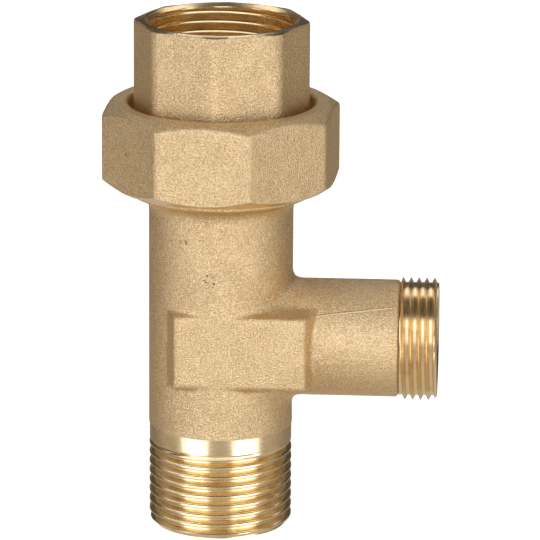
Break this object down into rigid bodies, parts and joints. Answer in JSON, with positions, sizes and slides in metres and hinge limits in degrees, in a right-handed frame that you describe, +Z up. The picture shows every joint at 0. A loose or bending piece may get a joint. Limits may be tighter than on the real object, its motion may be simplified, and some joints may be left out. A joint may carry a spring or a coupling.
{
  "type": "check valve",
  "caption": "Brass check valve tee: male pipe thread below, octagonal union nut with female-threaded tail piece above, and a threaded side branch.",
  "frame": {"origin": "centre of the lower end face, on the run axis", "axes": "+Z up the run towards the tail piece, +X out along the side branch, -Y towards the front spanner pad"},
  "size_m": [0.0774, 0.0538, 0.12],
  "materials": {
    "cast_brass": "sand-blasted casting with machined threads",
    "turned_brass": "turned",
    "acetal": "moulded",
    "seal_rubber": "moulded",
    "stainless": "bright drawn",
    "bush_polymer": "smooth"
  },
  "bodies": {
    "body": {"body": "cast_brass", "union_gasket": "seal_rubber", "insert_housing": "acetal", "housing_oring_lower": "seal_rubber", "housing_oring_upper": "seal_rubber", "seat_ring": "turned_brass", "guide_spider": "acetal", "guide_bush": "bush_polymer", "retaining_ring": "stainless", "spring": "stainless"},
    "poppet": {"poppet_disc": "acetal", "poppet_seal": "seal_rubber", "seal_washer": "stainless", "stem": "stainless", "stem_nut": "stainless", "spring_washer": "stainless"},
    "tail": {"tail_piece": "cast_brass"},
    "nut": {"union_nut": "cast_brass"}
  },
  "joints": [
    {"name": "poppet_lift", "type": "slide", "parent": "body", "child": "poppet", "axis": [0, 0, 1], "range_m": [0, 0.007], "stiffness_N_per_m": 150, "springref_m": -0.004, "deforming": ["spring"]},
    {"name": "union_draw", "type": "slide", "parent": "body", "child": "tail", "axis": [0, 0, 1], "range_m": [0, 0.00924]},
    {"name": "nut_turn", "type": "hinge", "parent": "tail", "child": "nut", "pos_m": [0, 0, 0.0912], "axis": [0, 0, 1], "range_deg": [0, 1440]}
  ],
  "couplings": [
    {"joint": "union_draw", "follows": "nut_turn", "m_per_rad": 0.00036749}
  ]
}
